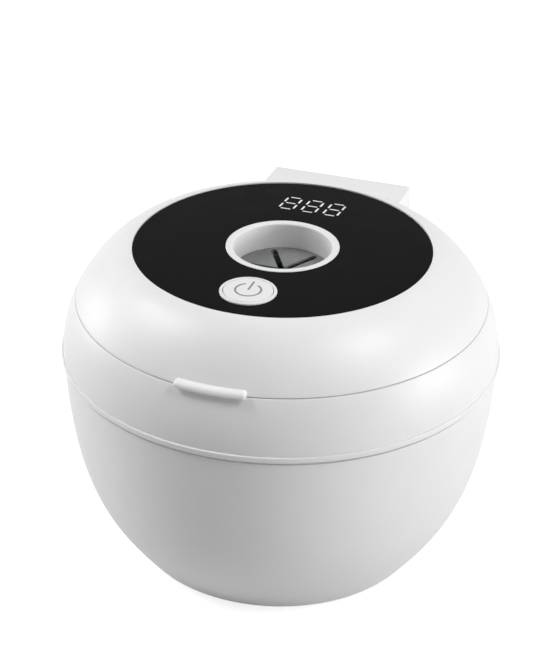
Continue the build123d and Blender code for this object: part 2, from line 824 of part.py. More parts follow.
def liner_screws():
    return Compound([screw(x, y, liner_z, liner_screw_length, up=True)
                     for x, y in on_circle(liner_boss_circle, liner_boss_angles)])


def lid_gasket():
    return ring(gasket_outer, gasket_inner, tank_rim_z, liner_z)


def lid_magnet():
    return disc(magnet_radius, liner_top_z, liner_top_z + magnet_thickness, 0, -magnet_offset)


nodes = {
    "lower_bowl": lower_bowl(),
    "body_ring": body_ring(),
    "base_cover": base_cover(),
    "rubber_feet": rubber_feet(),
    "base_screws": base_screws(),
    "tank": tank(),
    "tank_seal": tank_seal(),
    "piezo_disc": piezo_disc(),
    "main_board": main_board(),
    "board_screws": board_screws(),
    "battery_pack": battery_pack(),
    "driver_coil": driver_coil(),
    "board_capacitors": board_capacitors(),
    "board_chips": board_chips(),
    "usb_socket": usb_socket(),
    "hinge_pin": hinge_pin(),
    "body_magnet": body_magnet(),
    "lens_case_body": lens_case_body(),
    "left_lens_cap": lens_cap(-case_pitch / 2),
    "right_lens_cap": lens_cap(case_pitch / 2),
    "lid_shell": lid_shell(),
    "display_panel": display_panel(),
    "display_segments": display_segments(),
    "display_module": display_module(),
    "well_collar": well_collar(),
    "well_slit_disc": well_slit_disc(),
    "disc_retainer": disc_retainer(),
    "button_bezel": button_bezel(),
    "button_cap": button_cap(),
    "power_icon": power_icon(),
    "switch_plunger": switch_plunger(),
    "tact_switch": tact_switch(),
    "lid_board": lid_board(),
    "lid_board_screws": lid_board_screws(),
    "lid_liner": lid_liner(),
    "liner_screws": liner_screws(),
    "lid_gasket": lid_gasket(),
    "lid_magnet": lid_magnet(),
}

os.makedirs("parts", exist_ok=True)
for name, shape in nodes.items():
    export_step(shape, f"parts/{name}.step")
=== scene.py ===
import json
from math import asin, cos, radians, sin, sqrt, tau

import bmesh
import bpy
from mathutils import Matrix, Vector


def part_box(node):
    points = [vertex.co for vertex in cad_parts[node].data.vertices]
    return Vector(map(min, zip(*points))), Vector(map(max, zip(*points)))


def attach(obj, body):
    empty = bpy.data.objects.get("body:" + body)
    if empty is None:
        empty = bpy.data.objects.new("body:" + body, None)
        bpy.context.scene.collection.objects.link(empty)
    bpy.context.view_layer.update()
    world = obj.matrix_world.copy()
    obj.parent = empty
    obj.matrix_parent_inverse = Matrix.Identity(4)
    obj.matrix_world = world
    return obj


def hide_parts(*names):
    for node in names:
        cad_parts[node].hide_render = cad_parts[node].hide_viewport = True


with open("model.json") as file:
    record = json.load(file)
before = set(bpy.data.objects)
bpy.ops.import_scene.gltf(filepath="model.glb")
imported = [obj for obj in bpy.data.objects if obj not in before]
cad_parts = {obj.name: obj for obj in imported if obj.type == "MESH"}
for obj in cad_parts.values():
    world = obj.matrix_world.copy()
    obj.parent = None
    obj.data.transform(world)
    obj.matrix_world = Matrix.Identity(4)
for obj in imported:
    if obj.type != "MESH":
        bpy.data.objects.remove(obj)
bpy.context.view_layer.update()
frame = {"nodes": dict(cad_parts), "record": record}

# Desk-top contact lens cleaner: satin white bowl, hinged domed lid, black panel, steel tank.
# Lengths in the dictionaries are millimetres, and mm turns them into Blender's metres.
mm = 0.001
shellSteps = 256        # facets round the big shells
tankSteps = 192         # facets round the tank and its gasket
smallSteps = 96         # facets round the well, the button and the case's cups
tinySteps = 48          # facets round pins, screws, feet and holes
edgeSegments, roundSegments = 4, 10     # facets across a rounding under 1 mm, and of 1 mm and more
sharpAngle = radians(32)
mergeDistance = 0.0005 * mm
pointSpacing = 0.3      # least distance between the points of the dome's outline
past = 1.0              # how far a cutting piece reaches past what it cuts
tankFlange = 3.5        # width of the tank's flange
noiseLow, noiseHigh = 0.3, 0.7      # where a noise texture's values mostly lie


def span(node, axis):
    low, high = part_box(node)
    return low[axis] / mm, high[axis] / mm


# Levels and radii that the frame gives
panelLow, panelTop = span("display_panel", 2)
panelRadius = span("display_panel", 0)[1]
bodyRadius = span("body_ring", 0)[1]
beadRadius = span("lower_bowl", 0)[1]
bowlLow, bowlTop = span("lower_bowl", 2)
lidEdge = span("lid_shell", 2)[0]
tankLow, tankRim = span("tank", 2)
tankOuter = span("tank", 0)[1]
hingeY, hingeZ = [sum(span("hinge_pin", axis)) / 2 for axis in (1, 2)]
buttonY = sum(span("button_cap", 1)) / 2
discLow, discTop = span("well_slit_disc", 2)
linerLow, linerTop = span("lid_liner", 2)
deckTop = span("tank_seal", 2)[0]
caseLow, caseRim = span("lens_case_body", 2)


def hexColour(code):
    # sRGB hex to the linear values that Blender's sockets hold
    channels = []
    for start in (0, 2, 4):
        value = int(code[start:start + 2], 16) / 255
        channels.append(value / 12.92 if value <= 0.04045 else ((value + 0.055) / 1.055) ** 2.4)
    return (*channels, 1.0)


def addNode(tree, kind, settings=None, links=None):
    node = tree.nodes.new(kind)
    for name, value in (settings or {}).items():
        if isinstance(name, int) or name in node.inputs:
            node.inputs[name].default_value = value
        else:
            setattr(node, name, value)
    for name, source in (links or {}).items():
        tree.links.new(source, node.inputs[name])
    return node


def perMetre(size):
    return 1 / (size * mm)     # texture scale whose cell is size millimetres across


def newMaterial(slot):
    material = bpy.data.materials.new(slot)
    material.use_nodes = True
    tree = material.node_tree
    shader = tree.nodes["Principled BSDF"]
    place = addNode(tree, "ShaderNodeTexCoord").outputs["Object"]
    return material, tree, shader, place


def mottledColour(tree, place, dark, light, size):
    noise = addNode(tree, "ShaderNodeTexNoise", {"Scale": perMetre(size), "Detail": 3.0}, {"Vector": place})
    ramp = addNode(tree, "ShaderNodeValToRGB", links={"Fac": noise.outputs["Fac"]})
    first, last = ramp.color_ramp.elements
    first.position, first.color = noiseLow, hexColour(dark)
    last.position, last.color = noiseHigh, hexColour(light)
    return ramp.outputs["Color"]


def finishSurface(tree, shader, finish, colour, wander, height, strength=1.0):
    # What the finishes share: the colour, a roughness that wanders within its range, and fine relief
    low, high = finish["rough"]
    rough = addNode(tree, "ShaderNodeMapRange", {"From Min": noiseLow, "From Max": noiseHigh,
                    "To Min": low, "To Max": high}, {"Value": wander})
    bump = addNode(tree, "ShaderNodeBump", {"Strength": strength, "Distance": finish["depth"] * mm},
                   {"Height": height})
    tree.links.new(colour, shader.inputs["Base Color"])
    tree.links.new(rough.outputs["Result"], shader.inputs["Roughness"])
    tree.links.new(bump.outputs["Normal"], shader.inputs["Normal"])


# Moulded and cast finishes: two near shades, their patch size, roughness range, grain size and its depth.
# Grain of 0.2 mm and more is drawn coarser than the real 0.05 mm spark-eroded grain, so that it shows.
mouldedFinishes = {
    # ABS moulded in a spark-eroded tool: clean satin white with a very soft sheen
    "white_abs": {"shades": ("ECECEC", "EEEEEE"), "patch": 9.0, "rough": (0.40, 0.46), "ior": 1.54,
                  "grain": 0.22, "depth": 0.004},
    # Silicone rubber: matt, slightly dusty grey
    "grey_silicone": {"shades": ("7A7B7C", "848586"), "patch": 2.5, "rough": (0.55, 0.68), "ior": 1.41,
                      "grain": 0.18, "depth": 0.006},
    # Pad-printed ink: thin dull grey
    "grey_print": {"shades": ("8A8B8C", "949596"), "patch": 0.6, "rough": (0.5, 0.6), "ior": 1.5,
                   "grain": 0.12, "depth": 0.002},
    # Polypropylene lens case: waxy white and pale blue
    "case_white": {"shades": ("EDF0F1", "F3F5F5"), "patch": 5.0, "rough": (0.32, 0.42), "ior": 1.49,
                   "grain": 0.3, "depth": 0.004},
    "case_blue": {"shades": ("7FB2CE", "8ABBD5"), "patch": 5.0, "rough": (0.32, 0.42), "ior": 1.49,
                  "grain": 0.3, "depth": 0.004},
    # Unpigmented polypropylene: milky
    "natural_plastic": {"shades": ("D9DAD6", "E2E3DF"), "patch": 4.0, "rough": (0.35, 0.45), "ior": 1.49,
                        "grain": 0.25, "depth": 0.003},
    # Moulded rubber feet: matt grey with a dry bloom
    "foot_rubber": {"shades": ("555758", "616364"), "patch": 1.6, "rough": (0.75, 0.88), "ior": 1.52,
                    "grain": 0.2, "depth": 0.012},
    # Epoxy-moulded components: charcoal, fine grain
    "black_component": {"shades": ("17181A", "202123"), "patch": 1.2, "rough": (0.5, 0.62), "ior": 1.55,
                        "grain": 0.12, "depth": 0.004},
    # Fired piezo ceramic: warm grey, slightly speckled
    "piezo_ceramic": {"shades": ("8C8069", "A2957C"), "patch": 0.7, "rough": (0.6, 0.75), "ior": 1.6,
                      "grain": 0.15, "depth": 0.006},
    # Pouch cell in clear tape: pale grey with soft creases
    "battery_wrap": {"shades": ("B4B6B8", "CACCCD"), "patch": 3.0, "rough": (0.25, 0.4), "ior": 1.5,
                     "grain": 1.8, "depth": 0.05},
}


def mouldedMaterial(slot, finish):
    material, tree, shader, place = newMaterial(slot)
    dark, light = finish["shades"]
    colour = mottledColour(tree, place, dark, light, finish["patch"])
    grain = addNode(tree, "ShaderNodeTexNoise", {"Scale": perMetre(finish["grain"]), "Detail": 2.0},
                    {"Vector": place}).outputs["Fac"]
    flow = addNode(tree, "ShaderNodeTexNoise", {"Scale": perMetre(finish["patch"] * 2), "Detail": 1.0},
                   {"Vector": place}).outputs["Fac"]
    finishSurface(tree, shader, finish, colour, flow, grain)
    shader.inputs["IOR"].default_value = finish["ior"]
    return material


# Metals: two near shades, roughness range, width of the polishing lines and their depth
metalFinishes = {
    # 304 stainless, deep drawn and lathe brushed: cool grey with fine rings
    "stainless_tank": {"shades": ("B9BABA", "CFCFCE"), "rough": (0.24, 0.36), "line": 0.22, "depth": 0.004},
    # Zinc and nickel plated steel: brighter, with faint turning marks
    "steel_hardware": {"shades": ("AEAFB0", "C6C6C6"), "rough": (0.2, 0.34), "line": 0.15, "depth": 0.003},
    "magnet_nickel": {"shades": ("B6B4AE", "C6C4BE"), "rough": (0.15, 0.28), "line": 0.3, "depth": 0.002},
    "capacitor_can": {"shades": ("AEB1B5", "C4C7CA"), "rough": (0.28, 0.4), "line": 0.2, "depth": 0.003},
}


def metalMaterial(slot, finish):
    # Lines run round the upright axis: on walls they follow the height, on flat faces the radius
    material, tree, shader, place = newMaterial(slot)
    parts = addNode(tree, "ShaderNodeSeparateXYZ", links={"Vector": place}).outputs
    flat = addNode(tree, "ShaderNodeCombineXYZ", links={"X": parts["X"], "Y": parts["Y"]}).outputs["Vector"]
    radius = addNode(tree, "ShaderNodeVectorMath", {"operation": "LENGTH"}, {0: flat}).outputs["Value"]
    rings = addNode(tree, "ShaderNodeCombineXYZ", links={"X": radius, "Z": parts["Z"]}).outputs["Vector"]
    lines = addNode(tree, "ShaderNodeTexNoise", {"Scale": perMetre(finish["line"]), "Detail": 2.0},
                    {"Vector": rings}).outputs["Fac"]
    ramp = addNode(tree, "ShaderNodeValToRGB", links={"Fac": lines})
    first, last = ramp.color_ramp.elements
    first.position, first.color = noiseLow, hexColour(finish["shades"][0])
    last.position, last.color = noiseHigh, hexColour(finish["shades"][1])
    finishSurface(tree, shader, finish, ramp.outputs["Color"], lines, lines)
    shader.inputs["Metallic"].default_value = 1.0
    return material


def panelMaterial():
    # Cast acrylic, black from the back, with an etched anti-glare face: even near-black, no sharp reflections
    finish = {"shades": ("131313", "151515"), "rough": (0.5, 0.6), "haze": 6.0, "grain": 0.15, "depth": 0.0012,
              "ior": 1.49, "specular": 0.035}
    material, tree, shader, place = newMaterial("black_acrylic")
    colour = mottledColour(tree, place, *finish["shades"], finish["haze"])
    haze = addNode(tree, "ShaderNodeTexNoise", {"Scale": perMetre(finish["haze"]), "Detail": 2.0},
                   {"Vector": place}).outputs["Fac"]
    grain = addNode(tree, "ShaderNodeTexNoise", {"Scale": perMetre(finish["grain"])},
                    {"Vector": place}).outputs["Fac"]
    finishSurface(tree, shader, finish, colour, haze, grain)
    shader.inputs["IOR"].default_value = finish["ior"]
    shader.inputs["Specular IOR Level"].default_value = finish["specular"]
    return material


def segmentMaterial():
    # LED light guide behind the panel: white, a little brighter and darker along each bar
    finish = {"shades": ("D2D5D6", "FFFFFF"), "patch": 0.9, "unlit": "8C8C8C", "glow": 0.65, "rough": 0.5}
    material, tree, shader, place = newMaterial("lit_segment")
    glow = mottledColour(tree, place, *finish["shades"], finish["patch"])
    tree.links.new(glow, shader.inputs["Emission Color"])
    shader.inputs["Base Color"].default_value = hexColour(finish["unlit"])
    shader.inputs["Emission Strength"].default_value = finish["glow"]
    shader.inputs["Roughness"].default_value = finish["rough"]
    return material


def boardMaterial():
    # Fibreglass board under green solder mask, with the faint pattern of copper tracks beneath
    finish = {"shades": ("14402A", "1D5738"), "track": 1.4, "gap": (0.06, 0.12), "rough": (0.3, 0.45),
              "depth": 0.02, "relief": 0.4, "ior": 1.5}
    material, tree, shader, place = newMaterial("circuit_board")
    tracks = addNode(tree, "ShaderNodeTexVoronoi", {"feature": "DISTANCE_TO_EDGE", "distance": "MANHATTAN",
                     "Scale": perMetre(finish["track"])}, {"Vector": place}).outputs["Distance"]
    ramp = addNode(tree, "ShaderNodeValToRGB", links={"Fac": tracks})
    first, last = ramp.color_ramp.elements
    first.position, first.color = finish["gap"][0], hexColour(finish["shades"][0])
    last.position, last.color = finish["gap"][1], hexColour(finish["shades"][1])
    finishSurface(tree, shader, finish, ramp.outputs["Color"], tracks, tracks, finish["relief"])
    shader.inputs["IOR"].default_value = finish["ior"]
    return material


def windingMaterial():
    # Enamelled copper wire wound in level turns
    finish = {"shades": ("6E3417", "C27A45"), "turn": 0.35, "depth": 0.08, "relief": 0.8, "metallic": 0.6,
              "rough": 0.35}
    material, tree, shader, place = newMaterial("coil_winding")
    turns = addNode(tree, "ShaderNodeTexWave", {"wave_type": "BANDS", "bands_direction": "Z",
                    "Scale": perMetre(finish["turn"]) / tau}, {"Vector": place}).outputs["Fac"]
    ramp = addNode(tree, "ShaderNodeValToRGB", links={"Fac": turns})
    first, last = ramp.color_ramp.elements
    first.color, last.color = [hexColour(code) for code in finish["shades"]]
    bump = addNode(tree, "ShaderNodeBump", {"Strength": finish["relief"], "Distance": finish["depth"] * mm},
                   {"Height": turns})
    tree.links.new(ramp.outputs["Color"], shader.inputs["Base Color"])
    tree.links.new(bump.outputs["Normal"], shader.inputs["Normal"])
    shader.inputs["Metallic"].default_value = finish["metallic"]
    shader.inputs["Roughness"].default_value = finish["rough"]
    return material


materials = {slot: mouldedMaterial(slot, finish) for slot, finish in mouldedFinishes.items()}
materials.update({slot: metalMaterial(slot, finish) for slot, finish in metalFinishes.items()})
materials.update({"black_acrylic": panelMaterial(), "lit_segment": segmentMaterial(),
                  "circuit_board": boardMaterial(), "coil_winding": windingMaterial()})
for subpart in frame["record"]["subparts"]:
    nodeMesh = frame["nodes"][subpart["node"]].data
    nodeMesh.materials.clear()
    nodeMesh.materials.append(materials[subpart["material_slot"]])
print("materials:", len(materials))


def wireLoop(bm, outline, across=0, up=2):
    # Corners are (across, up) or (across, up, rounding); a loop with both ends on the axis stays open
    corners = []
    for corner in outline:
        place = [0.0, 0.0, 0.0]
        place[across], place[up] = corner[0] * mm, corner[1] * mm
        corners.append(bm.verts.new(place))
    onAxis = across == 0 and up == 2 and outline[0][0] == 0 and outline[-1][0] == 0
    for here, there in zip(corners, corners[1:] + ([] if onAxis else corners[:1])):
        bm.edges.new((here, there))
    for corner, vert in zip(outline, corners):
        if len(corner) > 2:
            bmesh.ops.bevel(bm, geom=[vert], offset=corner[2] * mm, offset_type="OFFSET", affect="VERTICES",
                            segments=edgeSegments if corner[2] < 1 else roundSegments, profile=0.5, material=-1)


def closeUp(bm):
    bmesh.ops.remove_doubles(bm, verts=bm.verts[:], dist=mergeDistance)
    bmesh.ops.recalc_face_normals(bm, faces=bm.faces[:])
    if bm.calc_volume(signed=True) < 0:
        bmesh.ops.reverse_faces(bm, faces=bm.faces[:])


def linkMesh(bm, name):
    mesh = bpy.data.meshes.new(name)
    bm.to_mesh(mesh)
    bm.free()
    piece = bpy.data.objects.new(name, mesh)
    bpy.context.scene.collection.objects.link(piece)
    return piece


def toObject(bm, name):
    closeUp(bm)
    return linkMesh(bm, name)


def turnedPiece(name, outline, steps=smallSteps, centre=(0, 0)):
    bm = bmesh.new()
    wireLoop(bm, outline)
    bmesh.ops.spin(bm, geom=bm.verts[:] + bm.edges[:], cent=(0, 0, 0), axis=(0, 0, 1), angle=tau,
                   steps=steps, use_merge=True)
    bmesh.ops.translate(bm, vec=(centre[0] * mm, centre[1] * mm, 0), verts=bm.verts[:])
    return toObject(bm, name)


def sweptLoop(outline, sweep, steps, start):
    # A closed outline turned part of the way round the upright axis, from one angle on
    bm = bmesh.new()
    wireLoop(bm, outline)
    bmesh.ops.contextual_create(bm, geom=bm.edges[:])
    bmesh.ops.spin(bm, geom=bm.faces[:], cent=(0, 0, 0), axis=(0, 0, 1), angle=sweep, steps=steps)
    bmesh.ops.rotate(bm, cent=(0, 0, 0), matrix=Matrix.Rotation(start, 3, "Z"), verts=bm.verts[:])
    closeUp(bm)
    return bm


def slabPiece(name, outline, across, up, low, high, edgeRound=0.0):
    # An outline in one plane, drawn out along the third axis from low to high
    along = 3 - across - up
    bm = bmesh.new()
    wireLoop(bm, outline, across, up)
    face = bmesh.ops.contextual_create(bm, geom=bm.edges[:])["faces"]
    shift = Vector((0, 0, 0))
    shift[along] = low * mm
    bmesh.ops.translate(bm, vec=shift, verts=bm.verts[:])
    drawn = bmesh.ops.extrude_face_region(bm, geom=face)["geom"]
    shift[along] = (high - low) * mm
    bmesh.ops.translate(bm, vec=shift, verts=[item for item in drawn if isinstance(item, bmesh.types.BMVert)])
    if edgeRound:
        closeUp(bm)
        rims = [edge for edge in bm.edges if abs((edge.verts[0].co - edge.verts[1].co)[along]) < mergeDistance
                and edge.calc_face_angle(0) > sharpAngle]
        bmesh.ops.bevel(bm, geom=rims, offset=edgeRound * mm, offset_type="OFFSET", affect="EDGES",
                        segments=3, profile=0.5, material=-1)
    return toObject(bm, name)


def combine(piece, other, how):
    # DIFFERENCE cuts the other piece away, UNION joins it; either way the other is used up
    step = piece.modifiers.new(how, "BOOLEAN")
    step.operation, step.solver, step.object = how, "EXACT", other
    graph = bpy.context.evaluated_depsgraph_get()
    joined = bpy.data.meshes.new_from_object(piece.evaluated_get(graph))
    piece.modifiers.clear()
    old, piece.data = piece.data, joined
    bpy.data.meshes.remove(old)
    bpy.data.meshes.remove(other.data)
    return piece


def gather(name, pieces):
    # Several loose solids as one piece
    bm = bmesh.new()
    for piece in pieces:
        bm.from_mesh(piece.data)
        bpy.data.meshes.remove(piece.data)
    return linkMesh(bm, name)


def dress(piece, slot, body, *nodes, softEdge=0.0):
    if softEdge:
        soften = piece.modifiers.new("softEdge", "BEVEL")
        soften.width, soften.segments, soften.limit_method = softEdge * mm, 2, "ANGLE"
        soften.angle_limit = sharpAngle
    piece.data.materials.clear()
    piece.data.materials.append(materials[slot])
    piece.data.shade_smooth()
    piece.data.set_sharp_from_angle(angle=sharpAngle)
    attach(piece, body)
    if nodes:
        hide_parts(*nodes)
    print(piece.name, len(piece.data.polygons), "faces")
    return piece


def arcLine(centre, radius, start, end, steps):
    # Points on an arc from one angle to another, in degrees
    angles = [radians(start + (end - start) * step / steps) for step in range(steps + 1)]
    return [(centre[0] + radius * cos(angle), centre[1] + radius * sin(angle)) for angle in angles]


def bezierLine(points, steps):
    line = []
    for step in range(steps + 1):
        level = [Vector(point) for point in points]
        while len(level) > 1:
            level = [here.lerp(there, step / steps) for here, there in zip(level, level[1:])]
        line.append(tuple(level[0]))
    return line


def cutLine(line, high, low):
    # The stretch of a falling line between two heights, with exact ends and no crowded points
    kept = [line[0]] if line[0][1] <= high else []
    for here, there in zip(line, line[1:]):
        for height in (high, low):
            if here[1] > height > there[1]:
                share = (here[1] - height) / (here[1] - there[1])
                kept.append((here[0] + (there[0] - here[0]) * share, height))
        if low < there[1] < high:
            kept.append(there)
    if line[-1][1] >= low and kept[-1] != line[-1]:
        kept.append(line[-1])
    spaced = [kept[0]]
    for point in kept[1:-1]:
        nearest = min((Vector(point) - Vector(end)).length for end in (spaced[-1], kept[-1]))
        if nearest > pointSpacing:
            spaced.append(point)
    return spaced + [kept[-1]]


# One dome runs from the panel's lip down to the bowl, and the lid and the body ring share it
dome = {"lipGap": 0.15, "lipRise": 0.25, "shoulderRun": 3.7, "shoulderFall": 0.35, "browRadius": 39.5,
        "browDrop": 2.7, "bellyRise": 11.5, "leans": (0, 6, 37, 78, 90), "steps": 60}


def domeLine(inset, high, low):
    lipZ = panelTop + dome["lipRise"]
    outer = [(panelRadius + dome["lipGap"], lipZ),
             (panelRadius + dome["shoulderRun"], lipZ - dome["shoulderFall"]),
             (dome["browRadius"], panelTop - dome["browDrop"]), (bodyRadius, bowlTop + dome["bellyRise"]),
             (bodyRadius, bowlTop)]
    points = [(x - inset * sin(radians(lean)), z - inset * cos(radians(lean)))
              for (x, z), lean in zip(outer, dome["leans"])]
    return cutLine(bezierLine(points, dome["steps"]), high, low)


# The hinge block on the lid's back and the ears it turns on; front, topFront and back count from the pin
tail = {"width": 32.8, "front": -5.0, "knuckle": 3.0, "drop": 2.6, "edge": 0.18, "topFront": -7.15, "brow": 0.8,
        "neck": 2.4, "lap": 0.5, "cornerWidth": 3.0, "flush": 0.01, "roomInset": 0.2,
        "steps": 16}
ears = {"inner": 9.6, "outer": 13.6, "side": 0.4, "turning": 0.35, "front": 3.4, "back": 0.5,
        "edge": 0.2, "steps": 32, "roomSteps": 24}


def earRoom(name, side):
    # What an ear sweeps inside the tail as the lid swings
    front, back = hingeY - ears["front"] - ears["turning"], hingeY + tail["knuckle"] + past
    radius, foot = tail["knuckle"] + ears["turning"], lidEdge - past
    outline = [(front, foot), (front, hingeZ), *arcLine((hingeY, hingeZ), radius, 180, 0, ears["roomSteps"]),
               (back, hingeZ), (back, foot)]
    near, far = sorted((side * (ears["inner"] - ears["side"]), side * (ears["outer"] + ears["side"])))
    return slabPiece(name, outline, 1, 2, near, far)


def liftTab():
    # Finger tab on the lid's lower edge: a bar that follows the lid, round above and drawn in at its
    # ends, and hanging a little below the edge clear of the body ring
    tab = {"length": 15.5, "rise": 1.1, "hang": 0.15, "reach": 1.3, "root": 0.9, "clear": 0.55, "topRound": 1.0,
           "footRound": 0.25, "innerRound": 0.1, "endRound": 0.6, "endLeast": 0.3, "steps": 76}
    low, high = lidEdge - tab["hang"], lidEdge + tab["rise"]
    root = domeLine(tab["root"], panelTop, high)[-1][0]
    edgeRadius = domeLine(0, panelTop, lidEdge)[-1][0]
    clear, outer = edgeRadius + tab["clear"], edgeRadius + tab["reach"]
    sweep = tab["length"] / outer
    outline = [(root, lidEdge), (clear, lidEdge), (clear, low, tab["innerRound"]),
               (outer, low, tab["footRound"]), (outer, high, tab["topRound"]), (root, high)]
    bm = sweptLoop(outline, sweep, tab["steps"], -tau / 4 - sweep / 2)
    middle = (low + high) / 2
    for vert in bm.verts:
        radius, height = vert.co.xy.length / mm, vert.co.z / mm
        fromEnd = (sweep / 2 - abs(asin(vert.co.x / (radius * mm)))) * outer
        if fromEnd < tab["endRound"]:
            share = max(tab["endLeast"], sqrt(max(0.0, 1 - (1 - fromEnd / tab["endRound"]) ** 2)))
            drawnIn = (clear + (radius - clear) * share) / radius if radius > clear else 1.0
            vert.co.x, vert.co.y = vert.co.x * drawnIn, vert.co.y * drawnIn
            vert.co.z = (middle + (height - middle) * share) * mm
    return toObject(bm, "liftTab")


lid = {"wall": 1.8, "ledge": 3.6, "ledgeThickness": 1.3, "lipEdge": 0.12, "rimEdge": 0.05}


def lidShell():
    outer = domeLine(0, panelTop + past, lidEdge)
    ledgeLow = panelLow - lid["ledgeThickness"]
    inner = domeLine(lid["wall"], ledgeLow, lidEdge)
    outline = [(*outer[0], lid["lipEdge"]), *outer[1:-1], (*outer[-1], lid["rimEdge"]),
               (*inner[-1], lid["rimEdge"]), *reversed(inner[:-1]),
               (panelRadius - lid["ledge"], ledgeLow), (panelRadius - lid["ledge"], panelLow),
               (outer[0][0], panelLow)]
    shell = turnedPiece("lidShell", outline, shellSteps)
    front, back = hingeY + tail["front"], hingeY + tail["knuckle"]
    tailTop = panelTop - tail["drop"]
    half = tail["width"] / 2
    room = [(front, lidEdge - past), (front, tailTop), (bodyRadius, tailTop), (bodyRadius, lidEdge - past)]
    inside = half - tail["roomInset"]
    combine(shell, slabPiece("tailRoom", room, 1, 2, -inside, inside), "DIFFERENCE")
    block = [(front, tailTop), (back, tailTop, tail["edge"]),
             *arcLine((hingeY, hingeZ), tail["knuckle"], 0, -90, tail["steps"]),
             (front, hingeZ - tail["knuckle"])]
    combine(shell, slabPiece("tail", block, 1, 2, -half, half, tail["edge"]), "UNION")
    cornerTop = tailTop - tail["flush"]
    topFront, lap = hingeY + tail["topFront"], front + tail["lap"]
    corner = [(topFront, cornerTop), (lap, cornerTop), (lap, tailTop - tail["neck"]),
              (topFront, tailTop - tail["brow"])]
    for side in (-1, 1):
        # The flat top's corners reach forward until the dome covers them
        near, far = sorted((side * (half - tail["cornerWidth"]), side * (half - tail["flush"])))
        combine(shell, slabPiece("corner", corner, 1, 2, near, far), "UNION")
        combine(shell, earRoom("earRoom", side), "DIFFERENCE")
    combine(shell, liftTab(), "UNION")
    return dress(shell, "white_abs", "lid", "lid_shell")


def bodyRing():
    # Fixed ring under the lid: outer band, deck round the tank, splash upstand and the two hinge ears
    ring = {"wall": 2.0, "seam": 0.22, "rimEdge": 0.04, "footEdge": 0.06, "deckThickness": 2.0, "holeGap": 0.3,
            "holeEdge": 0.2, "upstandGap": 0.5, "upstandWall": 1.0, "upstandRise": 1.2, "upstandEdge": 0.25,
            "upstandBack": 20.0, "upstandSteps": 160, "sunk": 0.5}
    ringTop = lidEdge - ring["seam"]
    deckLow = deckTop - ring["deckThickness"]
    hole = tankOuter - tankFlange + ring["holeGap"]
    outer = domeLine(0, ringTop, bowlTop)
    innerHigh = domeLine(ring["wall"], ringTop, deckTop)
    innerLow = domeLine(ring["wall"], deckLow, bowlTop)
    outline = [(*outer[0], ring["rimEdge"]), *outer[1:-1], (*outer[-1], ring["footEdge"]), innerLow[-1],
               *reversed(innerLow[:-1]), (hole, deckLow), (hole, deckTop, ring["holeEdge"]),
               innerHigh[-1], *reversed(innerHigh[1:-1]), (*innerHigh[0], ring["rimEdge"])]
    band = turnedPiece("bodyRing", outline, shellSteps)
    upstandTop = ringTop + ring["upstandRise"]
    radius = domeLine(lid["wall"], panelTop, upstandTop)[-1][0] - ring["upstandGap"]
    backAngle = asin(ring["upstandBack"] / radius)
    within, root = radius - ring["upstandWall"], deckTop - ring["sunk"]
    wall = [(radius, root), (radius, upstandTop, ring["upstandEdge"]),
            (within, upstandTop, ring["upstandEdge"]), (within, root)]
    upstand = sweptLoop(wall, tau / 2 + 2 * backAngle, ring["upstandSteps"], tau / 2 - backAngle)
    combine(band, linkMesh(upstand, "upstand"), "UNION")
    for side in (-1, 1):
        near, far = sorted((side * ears["inner"], side * ears["outer"]))
        outline = [(hingeY - ears["front"], deckLow + ring["sunk"]), (hingeY - ears["front"], hingeZ),
                   *arcLine((hingeY, hingeZ), tail["knuckle"], 180, -80, ears["steps"]),
                   (hingeY + ears["back"], deckLow + ring["sunk"])]
        combine(band, slabPiece("ear", outline, 1, 2, near, far, ears["edge"]), "UNION")
    return dress(band, "white_abs", "base", "body_ring")


def hingePin():
    pin = {"radius": 1.25, "chamfer": 0.3}
    half = span("hinge_pin", 0)[1]
    bm = bmesh.new()
    bmesh.ops.create_cone(bm, cap_ends=True, segments=tinySteps, radius1=pin["radius"] * mm,
                          radius2=pin["radius"] * mm, depth=2 * half * mm)
    rims = [edge for edge in bm.edges if edge.calc_face_angle(0) > sharpAngle]
    bmesh.ops.bevel(bm, geom=rims, offset=pin["chamfer"] * mm, offset_type="OFFSET", affect="EDGES",
                    segments=2, profile=0.5, material=-1)
    bmesh.ops.rotate(bm, cent=(0, 0, 0), matrix=Matrix.Rotation(tau / 4, 3, "Y"), verts=bm.verts[:])
    bmesh.ops.translate(bm, vec=(0, hingeY * mm, hingeZ * mm), verts=bm.verts[:])
    return dress(toObject(bm, "hingePin"), "steel_hardware", "base", "hinge_pin")


